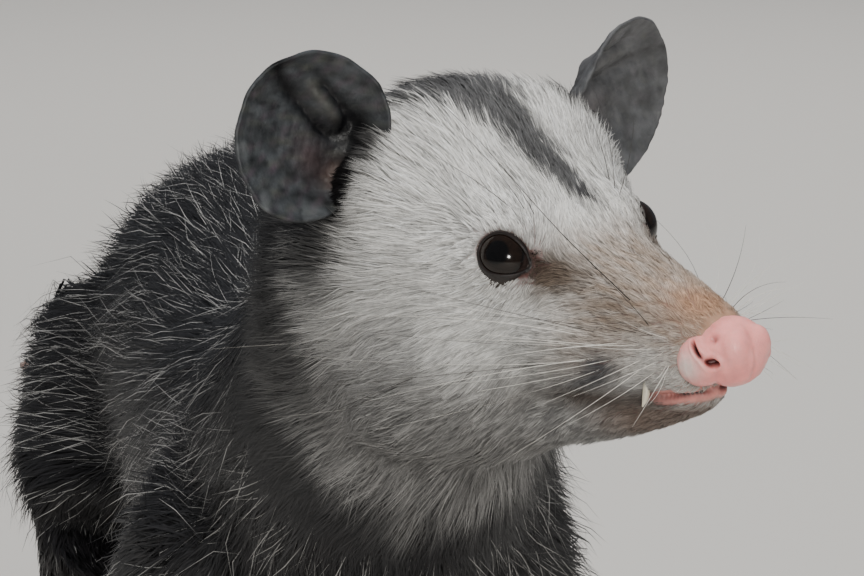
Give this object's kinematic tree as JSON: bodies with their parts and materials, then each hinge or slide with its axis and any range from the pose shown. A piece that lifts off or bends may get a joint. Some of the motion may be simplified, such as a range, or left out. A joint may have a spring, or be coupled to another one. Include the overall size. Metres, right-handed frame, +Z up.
{
  "type": "opossum",
  "caption": "Life-size still model of a standing opossum with its head raised and turned to its left, a pale pointed face, dark round ears, a grey coat and a bare tail laid on the floor.",
  "frame": {"origin": "middle of the footprint, on the floor that the feet and tail rest on", "axes": "+X from the tail to the chest, +Y to the animal's left, +Z up"},
  "size_m": [0.7006, 0.1474, 0.2094],
  "materials": {
    "face_coat": "short white and grey hair",
    "body_coat": "long grey and white-tipped guard hair over dark underfur",
    "leg_coat": "short black hair",
    "nose_skin": "moist bare pink skin",
    "ear_skin": "thin bare slate-black skin",
    "foot_skin": "bare pink-grey skin",
    "tail_skin": "scaly bare skin",
    "eye": "wet black"
  },
  "bodies": {
    "root": {"ear_left": "ear_skin", "ear_right": "ear_skin", "eye_left": "eye", "eye_right": "eye", "forefoot_left": "foot_skin", "forefoot_right": "foot_skin", "foreleg_left": "leg_coat", "foreleg_right": "leg_coat", "head": "face_coat", "hindfoot_left": "foot_skin", "hindfoot_right": "foot_skin", "hindleg_left": "leg_coat", "hindleg_right": "leg_coat", "lower_jaw": "face_coat", "neck": "body_coat", "nose": "nose_skin", "tail_1": "leg_coat", "tail_2": "tail_skin", "tail_3": "tail_skin", "tail_4": "tail_skin", "torso_front": "body_coat", "torso_rear": "body_coat"}
  },
  "joints": []
}
